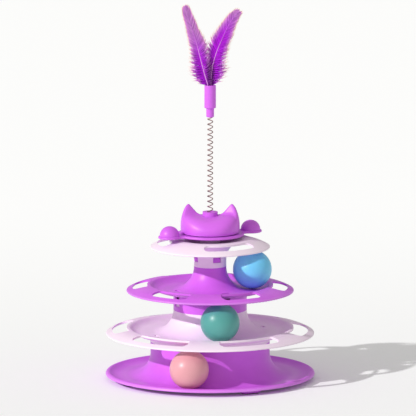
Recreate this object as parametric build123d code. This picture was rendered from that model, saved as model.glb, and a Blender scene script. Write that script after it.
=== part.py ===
"""Cat ball track toy: three stacked ball tracks, a spinner, a cat-head cap and a feather wand on a spring.

Millimetres, +Z up. The origin is on the table, on the tower's axis, and the cat's head faces -Y.
Each tier is a thin moulded shell whose section is a path of tangent lines and arcs with a steady wall.
"""
import os
from math import acos, asin, atan2, cos, degrees, hypot, pi, radians, sin, sqrt

from build123d import *

os.makedirs("parts", exist_ok=True)

# Moulded tiers
WALL = 2.0                    # wall of every moulding
TOUCH = 0.01                  # nearer than this counts as touching
BASE_FLOOR_Z = 5.0            # base channel's floor above the table
TIER_PITCH = 46.8             # from one channel's floor to the next
UPPER_COLUMN_R = 17.5
UPPER_STEP = 22.1             # lower column's face beyond the upper column's
BASE_COLUMN_H = 37.0          # channel floor to the joint with the tier above
LOWER_COLUMN_H = 24.3
UPPER_COLUMN_H = 24.9
FLARE_R = 24.0                # fillet from column to channel floor
PATTERN_TURN = 26.0           # hooks, feet, brim webs and spinner domes line up on this direction

# Channel and brim
CREST_REACH = 48.6            # column face to the channel's outer crest, and to the base's rim
CREST_H = 5.0                 # crest above the channel floor
RISE_R = 15.0                 # hollow curve up to the crest
CREST_R = 4.0                 # round top of the crest
BRIM_WIDTH = 23.2             # crest to brim edge
BRIM_DROP = 5.8
BRIM_SLOTS = 6
BRIM_WEB = 30.5               # solid brim between two slots, at their inner edge
SLOT_INSET = 1.8              # crest to the slot's inner edge
SLOT_WIDTH = 16.0
SLOT_OUTER_FILLET = 7.0
SLOT_INNER_FILLET = 3.0

# Base rim and feet
RIM_OVERHANG = 0.6            # base's rim beyond the brim above it
RIM_H = 3.7                   # rim's crest above the channel floor
RIM_CURL_R = 3.2
RIM_CURL = 80.0               # degrees that the rim curls down past level
FOOT_INSET = 16.0             # rim to the middle of a foot
FOOT_LENGTH = 24.0
FOOT_WIDTH = 14.0
FOOT_EDGE = 1.5               # round lower edge of a foot
FEET = 4
PAD_H = 1.2
PAD_MARGIN = 2.5              # foot's edge to the pad's edge

# Snap joints between the tiers
NECK_GAP = 0.15               # neck to collar
NECK_H = 10.5
NECK_HEADROOM = 0.4           # neck's top to the channel above it
WINDOW_LIFT = 5.5             # joint line to the sill of a snap window
WINDOW_W = 9.5
HOOK_SIDE_GAP = 0.5
HOOK_SILL_GAP = 0.2
HOOK_BITE = 1.4               # hook beyond the neck
SNAPS = 4

# Top tier
TOP_FLARE_R = 21.0            # outside of the trumpet
TOP_CREST_H = 30.0            # joint to the crest
TOP_REACH = 46.0              # column face to the brim's edge
TOP_BRIM_DROP = 9.1           # crest to the middle of the brim's edge
TOP_CREST_LEAN = 12.0         # degrees that the crest has turned down where the brim starts
TOP_SLOTS = 3
TOP_SLOT_ANGLE = 67.0         # degrees that a slot spans
TOP_SLOT_TURN = 30.0          # degrees from the pattern's direction to the middle of a slot
TOP_SLOT_MARGIN = 6.5         # slot to the brim's edge
TOP_SLOT_WIDTH = 12.5
TOP_SLOT_FILLET = 5.5
HUB_FLOOR_GAP = 0.8           # upper neck to the hub's floor
HUB_R = 11.0
HUB_PROUD = 1.5               # crest to the shoulder that the spinner runs on
JOURNAL_R = 8.0
JOURNAL_H = 5.2
RUNNING_GAP = 0.06            # radial play of the turning fits

# Spinner
DISC_R = 36.6
DISC_T = 2.6
DISC_LIFT = 1.9               # hub shoulder to the disc's underside
DISC_EDGE = 1.2
DISC_BOSS_R = 13.0
DOME_REACH = 48.5
DOME_R = 10.7
DOME_WALL = 1.6
FLANGE_R = 12.3
ARM_FILLET = 6.0

# Cat head
HEAD_GAP = 0.7                # spinner disc to the head
HEAD_R = 32.0
HEAD_FOOT_R = 31.0
HEAD_BULGE_H = 5.5            # foot to the widest place
HEAD_SIDE_H = 21.3            # foot to the root of an ear's outer edge
HEAD_SIDE_R = 29.9
SADDLE_H = 18.1               # foot to the top of the crown between the ears
CROWN_R = 66.0
SHOULDER_R = 9.0              # crown into the side
EAR_TIP_X = 23.5              # sharp tip, before its edges are rounded
EAR_TIP_H = 32.8
EAR_ROOT_X = 9.2              # foot of an ear's inner edge, at the top of the crown
EAR_RIDGE_X = 26.5            # a place where an ear's face meets the side
EAR_RIDGE_Y = 16.0
EAR_RIDGE_H = 20.2
EAR_INNER_EDGE = 3.5          # rounding of an ear's inner edge
EAR_OUTER_EDGE = 2.0          # and where its faces meet the side
EAR_FLARE = 5.0               # hollow of an ear's root
ROOT_BED_R = 45.0             # ball, just under the crown, that the roots flare out to
ROOT_BED_SINK = 0.3
HEAD_CAVITY_TOP = 4.6         # crown to the cavity's roof
HEAD_CAVITY_SIDE_H = 4.5
STEM_R = 5.0
STEM_LIP = 0.6
STEM_LIP_H = 3.0
STEM_SPLIT_W = 2.0
STEM_SPLIT_H = 9.0
LIP_GAP = 0.3

# Spring and its ends
SOCKET_R = 8.2
SOCKET_H = 4.3                # above the top of the crown
SOCKET_SINK = 0.6             # its land below the top of the crown
SOCKET_SPIGOT_R = 6.0
SOCKET_SPIGOT_H = 6.0
SOCKET_FIT = 0.1              # spigot to the head's seat
SOCKET_FLOOR = 2.0
SPRING_D = 6.6
WIRE_D = 1.1
SPRING_HALF_TURNS = 39        # at the full pitch
SPRING_START_ANGLE = -60.0    # degrees from +X where the full pitch begins
SPRING_PLAY = 0.25            # spring to its socket and cap
LEAD_H = 3.2                  # rise of each end from upright wire to full pitch
LEAD_HALF_TURNS = 0.5
SPRING_SHOWN = 102.9          # socket to cap
GAP_POINTS = 24               # points on each half turn where the coil's least gap is measured
CAP_R = 4.25
CAP_HEIGHT = 10.0
CAP_ROOF = 3.0
CAP_CHAMFER = 0.8
CAP_PIN_R = 2.5
CAP_PIN_H = 5.0
FERRULE_R = 6.25
FERRULE_H = 24.8
FERRULE_BORE_R = 4.4
FERRULE_BORE_H = 12.0
FERRULE_EDGE = 0.8

# Feathers
FEATHER_T = 1.2
FEATHER_SPACE = 0.6           # between the two feathers
QUILL_R = 0.9
QUILL_TIP_R = 0.3
VANE_LIFT = 1.5               # ferrule's top to the foot of a vane

# Balls
BALL_R = 21.0
BALL_WALL = 1.5
BALL_REACH = 28.0             # column face to the ball's centre
BALL_GAP = 0.3                # ball to the channel floor
PINK_ANGLE = -104.0           # degrees from +X about the tower
TEAL_ANGLE = -81.0
BLUE_ANGLE = -2.0

# Radii of the tiers
LOWER_COLUMN_R = UPPER_COLUMN_R + UPPER_STEP
BASE_COLUMN_R = LOWER_COLUMN_R + BRIM_WIDTH + WALL / 2 + RIM_OVERHANG
FOOT_REACH = BASE_COLUMN_R + CREST_REACH - FOOT_INSET
TOP_BRIM_R = UPPER_COLUMN_R + TOP_REACH
TOP_SLOT_R = TOP_BRIM_R - TOP_SLOT_MARGIN

# Heights of the stack
LOWER_FLOOR_Z = BASE_FLOOR_Z + TIER_PITCH
UPPER_FLOOR_Z = LOWER_FLOOR_Z + TIER_PITCH
BASE_JOINT_Z = BASE_FLOOR_Z + BASE_COLUMN_H
LOWER_JOINT_Z = LOWER_FLOOR_Z + LOWER_COLUMN_H
UPPER_JOINT_Z = UPPER_FLOOR_Z + UPPER_COLUMN_H
TOP_CREST_Z = UPPER_JOINT_Z + TOP_CREST_H
TOP_BRIM_EDGE_Z = TOP_CREST_Z - TOP_BRIM_DROP
HUB_TOP_Z = TOP_CREST_Z + HUB_PROUD
DISC_Z = HUB_TOP_Z + DISC_LIFT
HEAD_Z = DISC_Z + DISC_T + HEAD_GAP
SADDLE_Z = HEAD_Z + SADDLE_H
SOCKET_TOP_Z = SADDLE_Z + SOCKET_H
LAND_Z = SADDLE_Z - SOCKET_SINK
CAP_Z = SOCKET_TOP_Z + SPRING_SHOWN
FERRULE_Z = CAP_Z + CAP_HEIGHT
FERRULE_TOP_Z = FERRULE_Z + FERRULE_H
HUB_FLOOR_Z = UPPER_JOINT_Z + NECK_H + HUB_FLOOR_GAP
SEAT_Z = SADDLE_Z - SOCKET_SPIGOT_H


# Path sections

def moves_along(start, heading, moves):
    """Points and headings of a path of tangent moves in the XZ plane, as (start, middle, end) with headings.

    A move is ("line", length), ("arc", radius, degrees, left positive) or ("to", point), an arc to a point.
    """
    point, turn = start, radians(heading)
    steps = []
    for move in moves:
        if move[0] == "line":
            end = (point[0] + move[1] * cos(turn), point[1] + move[1] * sin(turn))
            steps.append((point, None, end, turn, turn, turn))
            point = end
            continue
        if move[0] == "arc":
            radius, sweep_angle = move[1], radians(move[2])
        else:
            dx, dz = move[1][0] - point[0], move[1][1] - point[1]
            half = (atan2(dz, dx) - turn + pi) % (2 * pi) - pi
            sweep_angle = 2 * half
            radius = hypot(dx, dz) / (2 * sin(abs(half)))
        side = 1 if sweep_angle > 0 else -1
        centre = (point[0] - side * radius * sin(turn), point[1] + side * radius * cos(turn))
        places = []
        for share in (0.5, 1.0):
            angle = turn + share * sweep_angle
            places.append((centre[0] + side * radius * sin(angle), centre[1] - side * radius * cos(angle)))
        steps.append((point, places[0], places[1], turn, turn + sweep_angle / 2, turn + sweep_angle))
        point, turn = places[1], turn + sweep_angle
    return steps


def beside(point, heading, shift):
    """Point of the XZ plane moved sideways to the left of a heading."""
    return (point[0] - shift * sin(heading), 0, point[1] + shift * cos(heading))


def shell(start, heading, moves):
    """Solid of revolution with a steady wall about a path of tangent moves, rounded at its far end."""
    steps = moves_along(start, heading, moves)
    half = WALL / 2
    edges = []
    for shift in (half, -half):
        for first, middle, last, h0, h1, h2 in steps:
            ends = beside(first, h0, shift), beside(last, h2, shift)
            if middle is None:
                edges.append(Line(*ends))
            else:
                edges.append(ThreePointArc(ends[0], beside(middle, h1, shift), ends[1]))
    first, last = steps[0], steps[-1]
    edges.append(Line(beside(first[0], first[3], half), beside(first[0], first[3], -half)))
    tip, out = last[2], last[5]
    nose = (tip[0] + half * cos(out), 0, tip[1] + half * sin(out))
    edges.append(ThreePointArc(beside(tip, out, half), nose, beside(tip, out, -half)))
    return revolve(make_face(edges), Axis.Z)


def ring(inner, outer, low, high):
    """Plain tube about the tower's axis."""
    return revolve(make_face(Polyline((inner, 0, low), (outer, 0, low), (outer, 0, high), (inner, 0, high),
                                      close=True)), Axis.Z)


def rod(radius, low, high):
    """Plain cylinder on the tower's axis."""
    return Pos(0, 0, low) * Cylinder(radius, high - low, align=(Align.CENTER, Align.CENTER, Align.MIN))


def around(thing, count, first=0.0):
    """Copies of one thing, evenly turned about the tower's axis."""
    return [Rot(0, 0, first + 360 * step / count) * thing for step in range(count)]


def slot(inner, outer, half_span, inner_fillet, outer_fillet, low, high):
    """Block that cuts one curved brim slot, centred on +X."""
    def at(radius, angle):
        return (radius * cos(radians(angle)), radius * sin(radians(angle)))
    outline = make_face([
        ThreePointArc(at(inner, -half_span), at(inner, 0), at(inner, half_span)),
        Line(at(inner, half_span), at(outer, half_span)),
        ThreePointArc(at(outer, half_span), at(outer, 0), at(outer, -half_span)),
        Line(at(outer, -half_span), at(inner, -half_span)),
    ])
    corners = outline.vertices().sort_by(lambda corner: hypot(corner.X, corner.Y))
    outline = fillet(corners[2:], outer_fillet)
    corners = outline.vertices().sort_by(lambda corner: hypot(corner.X, corner.Y))
    outline = fillet(corners[:2], inner_fillet)
    return Pos(0, 0, low) * extrude(outline, high - low)


# Tiers

def channel_moves(column_h, crest_reach, crest_h, crest_r):
    """Column, flare, flat floor and rise of one ball channel, from the joint down and out to its crest."""
    rise = acos(1 - crest_h / (RISE_R + crest_r))
    flat = crest_reach - FLARE_R - (RISE_R + crest_r) * sin(rise)
    return [
        ("line", column_h - FLARE_R),
        ("arc", FLARE_R + WALL / 2, 90),
        ("line", flat),
        ("arc", RISE_R + WALL / 2, degrees(rise)),
        ("arc", crest_r - WALL / 2, -degrees(rise)),
    ]


def wall_middle_z(radius, column_r, floor_z):
    """Height of the middle of a tier's wall, inside its flare."""
    run = max(column_r + FLARE_R - radius, 0)
    return floor_z + FLARE_R - sqrt((FLARE_R + WALL / 2) ** 2 - run ** 2)


def neck(column_r, joint_z, top_z):
    """Shoulder and spigot on top of a column, with snap hooks."""
    outer = column_r - WALL - NECK_GAP
    inner = outer - WALL
    body = ring(inner, column_r, joint_z - WALL, joint_z) + ring(inner, outer, joint_z - WALL, top_z)
    sill = joint_z + WINDOW_LIFT + HOOK_SILL_GAP
    root = outer - WALL / 2
    outline = (root, 0, sill), (outer + HOOK_BITE, 0, sill), (outer, 0, top_z), (root, 0, top_z)
    wedge = make_face(Polyline(*outline, close=True))
    hook = extrude(wedge, WINDOW_W / 2 - HOOK_SIDE_GAP, dir=(0, 1, 0), both=True)
    return body + around(hook, SNAPS)


def collar(column_r, joint_z, top_z):
    """Sleeve under a tier that goes over the neck of the tier below."""
    return ring(column_r - WALL, column_r, joint_z, top_z)


def windows(column_r, joint_z, top_z):
    """Blocks that cut the snap windows of a collar, drawn straight up as a mould core is."""
    low = joint_z + WINDOW_LIFT
    inner = sqrt((column_r - WALL) ** 2 - (WINDOW_W / 2) ** 2) - NECK_GAP
    outer = column_r + WALL / 2
    core = Pos((inner + outer) / 2, 0, (low + top_z) / 2) * Box(outer - inner, WINDOW_W, top_z - low)
    return around(core, SNAPS)


def track(column_r, floor_z, column_h, below_r, below_joint_z, neck_top_z):
    """One pale or purple track tier: channel, slotted brim, collar below and neck above."""
    joint_z = floor_z + column_h
    crest_r = column_r + CREST_REACH
    crest_z = floor_z + CREST_H
    moves = channel_moves(column_h, CREST_REACH, CREST_H, CREST_R)
    moves.append(("to", (crest_r + BRIM_WIDTH, crest_z - WALL / 2 - BRIM_DROP)))
    body = shell((column_r - WALL / 2, joint_z), -90, moves)
    body += collar(below_r, below_joint_z, wall_middle_z(below_r - WALL / 2, column_r, floor_z))
    body += neck(column_r, joint_z, neck_top_z)
    inner = crest_r + SLOT_INSET
    half_span = 180 / BRIM_SLOTS - degrees(asin(BRIM_WEB / 2 / inner))
    cutter = slot(inner, inner + SLOT_WIDTH, half_span, SLOT_INNER_FILLET, SLOT_OUTER_FILLET,
                  crest_z - BRIM_DROP - 2 * WALL, crest_z + WALL)
    body -= around(cutter, BRIM_SLOTS, 180 / BRIM_SLOTS)
    body -= windows(below_r, below_joint_z, crest_z)
    return Rot(0, 0, PATTERN_TURN) * body


def make_base():
    """Base track: channel with a curled rim, column, neck and feet."""
    moves = channel_moves(BASE_COLUMN_H, CREST_REACH - RIM_CURL_R, RIM_H, RIM_CURL_R)
    moves[-1] = ("arc", RIM_CURL_R - WALL / 2, moves[-1][2] - RIM_CURL)
    body = shell((BASE_COLUMN_R - WALL / 2, BASE_JOINT_Z), -90, moves)
    above = wall_middle_z(BASE_COLUMN_R - WALL, LOWER_COLUMN_R, LOWER_FLOOR_Z) - WALL / 2
    body += neck(BASE_COLUMN_R, BASE_JOINT_Z, min(BASE_JOINT_Z + NECK_H, above - NECK_HEADROOM))
    foot_h = BASE_FLOOR_Z - WALL / 2 - PAD_H
    foot = extrude(foot_outline(0), foot_h)
    foot = Pos(FOOT_REACH, 0, PAD_H) * fillet(foot.edges().group_by(Axis.Z)[0], FOOT_EDGE)
    return Rot(0, 0, PATTERN_TURN) * (body + around(foot, FEET))


def foot_outline(inset):
    """Round-ended outline of a foot or of its pad, long way round the rim."""
    return SlotOverall(FOOT_LENGTH - 2 * inset, FOOT_WIDTH - 2 * inset, rotation=90)


def make_pads():
    """Anti-slip pads under the feet."""
    pad = Pos(FOOT_REACH, 0, 0) * extrude(foot_outline(PAD_MARGIN), PAD_H)
    return around(pad, FEET, PATTERN_TURN)


def make_top():
    """Top tier: collar, trumpet, slotted brim, inner floor and the spinner's hub."""
    start_r = UPPER_COLUMN_R - WALL / 2
    radius = TOP_FLARE_R + WALL / 2
    straight = TOP_CREST_Z - WALL / 2 - radius - UPPER_JOINT_Z
    moves = [
        ("line", straight),
        ("arc", radius, -90 - TOP_CREST_LEAN),
        ("to", (TOP_BRIM_R, TOP_BRIM_EDGE_Z)),
    ]
    body = shell((start_r, UPPER_JOINT_Z), 90, moves)
    below_flare = max(HUB_FLOOR_Z + WALL / 2 - UPPER_JOINT_Z - straight, 0)
    floor_r = start_r + radius - sqrt(radius ** 2 - below_flare ** 2)
    body += ring(STEM_R + RUNNING_GAP, floor_r, HUB_FLOOR_Z, HUB_FLOOR_Z + WALL)
    body += ring(STEM_R + RUNNING_GAP, HUB_R, HUB_FLOOR_Z, HUB_TOP_Z)
    body += ring(STEM_R + RUNNING_GAP, JOURNAL_R, HUB_TOP_Z - WALL, HUB_TOP_Z + JOURNAL_H)
    cutter = slot(TOP_SLOT_R - TOP_SLOT_WIDTH, TOP_SLOT_R, TOP_SLOT_ANGLE / 2, TOP_SLOT_FILLET,
                  TOP_SLOT_FILLET, TOP_BRIM_EDGE_Z - WALL, TOP_CREST_Z + WALL)
    body -= around(cutter, TOP_SLOTS, TOP_SLOT_TURN)
    body -= windows(UPPER_COLUMN_R, UPPER_JOINT_Z, HUB_FLOOR_Z)
    return Rot(0, 0, PATTERN_TURN) * body


# Spinner and head

def half_ball(radius):
    """Upper half of a ball, flat side on the origin."""
    return Sphere(radius, arc_size1=0, align=(Align.CENTER, Align.CENTER, Align.MIN))


def arm_web():
    """Web between the disc and a dome's flange on +X, with a hollow fillet on each side."""
    x = ((DISC_R + ARM_FILLET) ** 2 - (FLANGE_R + ARM_FILLET) ** 2 + DOME_REACH ** 2) / (2 * DOME_REACH)
    y = sqrt((DISC_R + ARM_FILLET) ** 2 - x ** 2)
    on_disc, on_flange = DISC_R / (DISC_R + ARM_FILLET), FLANGE_R / (FLANGE_R + ARM_FILLET)
    start = (x * on_disc, y * on_disc)
    end = (DOME_REACH + (x - DOME_REACH) * on_flange, y * on_flange)
    middle = (x, y - ARM_FILLET)
    return make_face([
        ThreePointArc(start, middle, end),
        Line(end, (end[0], -end[1])),
        ThreePointArc((end[0], -end[1]), (middle[0], -middle[1]), (start[0], -start[1])),
        Line((start[0], -start[1]), start),
    ])


def make_spinner():
    """Turntable with a hollow half-dome at each end."""
    plate = Circle(DISC_R)
    for side in (-1, 1):
        plate += Pos(side * DOME_REACH, 0) * Circle(FLANGE_R) + Rot(0, 0, 90 - 90 * side) * arm_web()
    body = Pos(0, 0, DISC_Z) * extrude(plate, DISC_T)
    body = fillet(body.edges().group_by(Axis.Z)[0] + body.edges().group_by(Axis.Z)[-1], DISC_EDGE)
    body += rod(DISC_BOSS_R, HUB_TOP_Z, DISC_Z + DISC_T / 2)
    for side in (-1, 1):
        middle = Pos(side * DOME_REACH, 0, DISC_Z + DISC_T)
        body += middle * half_ball(DOME_R)
        body -= middle * half_ball(DOME_R - DOME_WALL)
        body -= Pos(side * DOME_REACH, 0, DISC_Z + DISC_T / 2) * Cylinder(DOME_R - DOME_WALL, DISC_T)
    body -= rod(JOURNAL_R + RUNNING_GAP, HUB_TOP_Z - WALL, HEAD_Z)
    return Rot(0, 0, PATTERN_TURN) * body


def ear_wedge():
    """Solid under the front and back faces of the right ear, which meet in its rounded inner edge."""
    tip = Vector(EAR_TIP_X, 0, HEAD_Z + EAR_TIP_H)
    inner = Vector(EAR_ROOT_X, 0, SADDLE_Z) - tip
    stock = 8 * HEAD_R
    sides = []
    for way in (1, -1):
        ridge = Vector(EAR_RIDGE_X, way * EAR_RIDGE_Y, HEAD_Z + EAR_RIDGE_H) - tip
        face = Plane(origin=tip, z_dir=ridge.cross(inner) * way)
        sides.append(face * Box(stock, stock, stock, align=(Align.CENTER, Align.CENTER, Align.MAX)))
    wedge = sides[0] & sides[1]
    inner_edges = wedge.edges().filter_by_position(Axis.Y, -TOUCH, TOUCH).sort_by(Axis.Z)
    return fillet(inner_edges[-1], EAR_INNER_EDGE)


def head_form():
    """Outside of the head: a drum with a soft-shouldered crown, whose side runs up into two flared ears."""
    tip_z = HEAD_Z + EAR_TIP_H
    side_z = HEAD_Z + HEAD_SIDE_H
    bulge_z = HEAD_Z + HEAD_BULGE_H
    side = ThreePointArc((HEAD_FOOT_R, 0, HEAD_Z), (HEAD_R, 0, bulge_z), (HEAD_SIDE_R, 0, side_z))
    drum = revolve(make_face([
        Line((0, 0, HEAD_Z), (HEAD_FOOT_R, 0, HEAD_Z)),
        side,
        TangentArc((HEAD_SIDE_R, 0, side_z), (EAR_TIP_X, 0, tip_z), tangent=side % 1),
        Line((EAR_TIP_X, 0, tip_z), (0, 0, tip_z)),
        Line((0, 0, tip_z), (0, 0, HEAD_Z)),
    ]), Axis.Z)
    crown = drum & Pos(0, 0, SADDLE_Z - CROWN_R) * Sphere(CROWN_R)
    rims = crown.edges().filter_by(lambda edge: edge.is_closed).sort_by(Axis.Z)
    crown = fillet(rims[-1], SHOULDER_R)
    ear = ear_wedge()
    stock = 3 * HEAD_R
    air = Pos(0, 0, HEAD_Z) * Box(stock, stock, stock, align=(Align.CENTER, Align.CENTER, Align.MIN))
    air -= Pos(0, 0, SADDLE_Z - ROOT_BED_SINK - ROOT_BED_R) * Rot(0, 0, 90) * Sphere(ROOT_BED_R)
    air -= [ear, mirror(ear, Plane.YZ)]
    roots = [edge for edge in air.edges() if edge.geom_type != GeomType.LINE
             and abs((edge @ 0.5).X) > WALL and (edge @ 0.5).Z > HEAD_Z + TOUCH]
    ears = drum - fillet(roots, EAR_FLARE)
    side_edges = ears.edges().filter_by(GeomType.BSPLINE)
    creases = [edge for edge in side_edges if drum.shell().distance_to(edge @ 0.5) < TOUCH]
    return crown + fillet(creases, EAR_OUTER_EDGE)


def make_head():
    """Cat-head cap: hollow below, with a seat for the spring's socket and a split snap stem."""
    body = head_form()
    roof_z = SADDLE_Z - HEAD_CAVITY_TOP
    roof_r = SOCKET_R + WALL
    wall_r = HEAD_FOOT_R - WALL
    wall_z = HEAD_Z + HEAD_CAVITY_SIDE_H
    body -= revolve(make_face([
        Line((0, 0, HEAD_Z), (wall_r, 0, HEAD_Z)),
        Line((wall_r, 0, HEAD_Z), (wall_r, 0, wall_z)),
        TangentArc((roof_r, 0, roof_z), (wall_r, 0, wall_z), tangent=(1, 0, 0)),
        Line((roof_r, 0, roof_z), (0, 0, roof_z)),
        Line((0, 0, roof_z), (0, 0, HEAD_Z)),
    ]), Axis.Z)
    lip_z = HUB_FLOOR_Z - LIP_GAP
    stem_z = lip_z - STEM_LIP_H
    body += rod(SOCKET_SPIGOT_R + SOCKET_FIT + WALL, SEAT_Z - WALL, roof_z + WALL / 2)
    body += rod(STEM_R, stem_z, SEAT_Z - WALL / 2)
    body += rod(STEM_R + STEM_LIP, stem_z, lip_z)
    split_across = 2 * (STEM_R + STEM_LIP) + WALL
    body -= Pos(0, 0, stem_z + STEM_SPLIT_H / 2) * Box(split_across, STEM_SPLIT_W, STEM_SPLIT_H)
    body -= rod(SOCKET_SPIGOT_R + SOCKET_FIT, SEAT_Z, SADDLE_Z + WALL)
    body -= rod(SOCKET_R + SOCKET_FIT, LAND_Z, SOCKET_TOP_Z)
    return body


# Wand

def make_socket():
    """Plug on the head that holds the spring's foot."""
    body = rod(SOCKET_R, LAND_Z, SOCKET_TOP_Z) + rod(SOCKET_SPIGOT_R, SEAT_Z, LAND_Z)
    return body - rod(SPRING_D / 2 + SPRING_PLAY, SEAT_Z + SOCKET_FLOOR, SOCKET_TOP_Z)


def biarc(p0, t0, p1, t1):
    """Two tangent arcs from p0 along t0 to p1 along t1."""
    chord, tangents = p1 - p0, t0 + t1
    a, b, c = tangents.dot(tangents) - 4, -2 * chord.dot(tangents), chord.dot(chord)
    reach = (-b - sqrt(b * b - 4 * a * c)) / (2 * a)
    first, second = p0 + t0 * reach, p1 - t1 * reach
    joint = (first + second) / 2
    return [TangentArc(p0, joint, tangent=t0), TangentArc(joint, p1, tangent=(second - first).normalized())]


def make_spring():
    """Open-coiled spring: one wire, upright for a wire's width at each end."""
    radius = (SPRING_D - WIRE_D) / 2
    low = SEAT_Z + SOCKET_FLOOR + SPRING_PLAY
    high = FERRULE_Z - CAP_ROOF - SPRING_PLAY
    coil_low, coil_high = low + WIRE_D + LEAD_H, high - WIRE_D - LEAD_H
    halves = SPRING_HALF_TURNS
    pitch = 2 * (coil_high - coil_low) / halves

    def place(half_turns, z):
        angle = radians(SPRING_START_ANGLE) + pi * half_turns
        return Vector(radius * cos(angle), radius * sin(angle), z)

    def tangent(half_turns):
        angle = radians(SPRING_START_ANGLE) + pi * half_turns
        return Vector(-radius * sin(angle), radius * cos(angle), pitch / (2 * pi)).normalized()

    up = Vector(0, 0, 1)
    first, last = -LEAD_HALF_TURNS, halves + LEAD_HALF_TURNS
    edges = [Line(place(first, low), place(first, low + WIRE_D))]
    edges += biarc(place(first, low + WIRE_D), up, place(0, coil_low), tangent(0))
    for step in range(halves):
        edges += biarc(place(step, coil_low + pitch * step / 2), tangent(step),
                       place(step + 1, coil_low + pitch * (step + 1) / 2), tangent(step + 1))
    edges += biarc(place(halves, coil_high), tangent(halves), place(last, high - WIRE_D), up)
    edges.append(Line(place(last, high - WIRE_D), place(last, high)))
    path = Wire(edges)
    steps = halves * GAP_POINTS
    points = [path.position_at(step / steps) for step in range(steps + 1)]
    pairs = ((points[i], points[j]) for i in range(steps) for j in range(i + GAP_POINTS, steps + 1))
    least = min((one - other).length for one, other in pairs)
    print("spring: least gap to itself %.2f mm, wire %.1f mm long" % (least - WIRE_D, path.length))
    return sweep(Plane(path.position_at(0), z_dir=up) * Circle(WIRE_D / 2), path=path)


def make_cap():
    """Cap on the spring's upper end, with a pin that goes up into the ferrule."""
    body = rod(CAP_R, CAP_Z, FERRULE_Z)
    body = chamfer(body.edges().group_by(Axis.Z)[0], CAP_CHAMFER)
    body += rod(CAP_PIN_R, FERRULE_Z - CAP_ROOF / 2, FERRULE_Z + CAP_PIN_H)
    return body - rod(SPRING_D / 2 + SPRING_PLAY, CAP_Z, FERRULE_Z - CAP_ROOF)


def make_ferrule():
    """Sleeve that holds the two quills."""
    body = rod(FERRULE_R, FERRULE_Z, FERRULE_TOP_Z)
    body = fillet(body.edges().group_by(Axis.Z)[-1] + body.edges().group_by(Axis.Z)[0], FERRULE_EDGE)
    body -= rod(FERRULE_BORE_R, FERRULE_TOP_Z - FERRULE_BORE_H, FERRULE_TOP_Z)
    return body - rod(CAP_PIN_R + SOCKET_FIT, FERRULE_Z, FERRULE_Z + CAP_PIN_H + SOCKET_FIT)


def make_feather(shaft, near_edge, far_edge, depth):
    """Flat vane on a tapered shaft that stands on the floor of the ferrule's bore.

    The shaft's points run up to the tip, and each edge lies between the foot of the vane and the tip.
    All of them are given from the middle of the ferrule's top.
    """
    def at(point):
        return (point[0], depth, FERRULE_TOP_Z + point[1])
    quill_x, tip = shaft[0][0], shaft[-1]
    root = (quill_x, VANE_LIFT)
    low = Spline(*[at(point) for point in [root] + near_edge + [tip]])
    high = Spline(*[at(point) for point in [tip] + far_edge[::-1] + [root]])
    vane = extrude(make_face([low, high]), FEATHER_T / 2, dir=(0, 1, 0), both=True)
    line = Spline(*[at(point) for point in shaft], tangents=[(0, 0, 1), line_end(shaft)])
    sections = []
    for step in range(len(shaft)):
        share = step / (len(shaft) - 1)
        radius = QUILL_R + (QUILL_TIP_R - QUILL_R) * share
        sections.append(Plane(line @ share, z_dir=line % share) * Circle(radius))
    quill = extrude(sections[0], -FERRULE_BORE_H)
    return vane + loft(sections) + quill


def line_end(points):
    """Heading of the last stretch of a feather's shaft."""
    (x0, z0), (x1, z1) = points[-2:]
    return (x1 - x0, 0, z1 - z0)


def make_ball(column_r, floor_z, angle):
    """Hollow ball that rests in its channel."""
    reach = column_r + BALL_REACH
    middle = Pos(reach * cos(radians(angle)), reach * sin(radians(angle)), floor_z + BALL_R + BALL_GAP)
    return middle * (Sphere(BALL_R) - Sphere(BALL_R - BALL_WALL))


FEATHER_DEPTH = QUILL_R + FEATHER_SPACE / 2
LEFT_SHAFT = [(-2, 0), (-7.5, 22.5), (-13.7, 43), (-20.5, 64), (-28.5, 88)]
LEFT_NEAR = [(-19, 2), (-24, 32), (-28.5, 63)]
LEFT_FAR = [(2.5, 18), (-2.5, 41), (-14, 70)]
RIGHT_SHAFT = [(0.8, 0), (2.4, 21), (8, 38), (18, 61), (34, 81)]
RIGHT_NEAR = [(-3, 20), (-0.5, 48), (14, 73)]
RIGHT_FAR = [(16, 4), (21, 34), (27.5, 57)]

parts = {
    "base_track": make_base(),
    "lower_track": track(LOWER_COLUMN_R, LOWER_FLOOR_Z, LOWER_COLUMN_H, BASE_COLUMN_R, BASE_JOINT_Z,
                         LOWER_JOINT_Z + NECK_H),
    "upper_track": track(UPPER_COLUMN_R, UPPER_FLOOR_Z, UPPER_COLUMN_H, LOWER_COLUMN_R, LOWER_JOINT_Z,
                         UPPER_JOINT_Z + NECK_H),
    "top_tier": make_top(),
    "spinner": make_spinner(),
    "cat_head": make_head(),
    "spring_socket": make_socket(),
    "spring": make_spring(),
    "spring_cap": make_cap(),
    "feather_ferrule": make_ferrule(),
    "feather_left": make_feather(LEFT_SHAFT, LEFT_NEAR, LEFT_FAR, -FEATHER_DEPTH),
    "feather_right": make_feather(RIGHT_SHAFT, RIGHT_NEAR, RIGHT_FAR, FEATHER_DEPTH),
    "ball_pink": make_ball(BASE_COLUMN_R, BASE_FLOOR_Z, PINK_ANGLE),
    "ball_teal": make_ball(LOWER_COLUMN_R, LOWER_FLOOR_Z, TEAL_ANGLE),
    "ball_blue": make_ball(UPPER_COLUMN_R, UPPER_FLOOR_Z, BLUE_ANGLE),
}
for number, pad in enumerate(make_pads(), 1):
    parts["pad_%d" % number] = pad

for name, solid in parts.items():
    export_step(solid, "parts/%s.step" % name)
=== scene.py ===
"""Looks of the cat ball track toy: moulded plastic tiers, three balls, a coil spring and two dyed feathers.

Metres, +Z up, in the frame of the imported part. The cat's head faces -Y, where the camera stands.
"""

import math

import bmesh
import bpy
import numpy as np
from mathutils import Matrix, Vector


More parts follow.
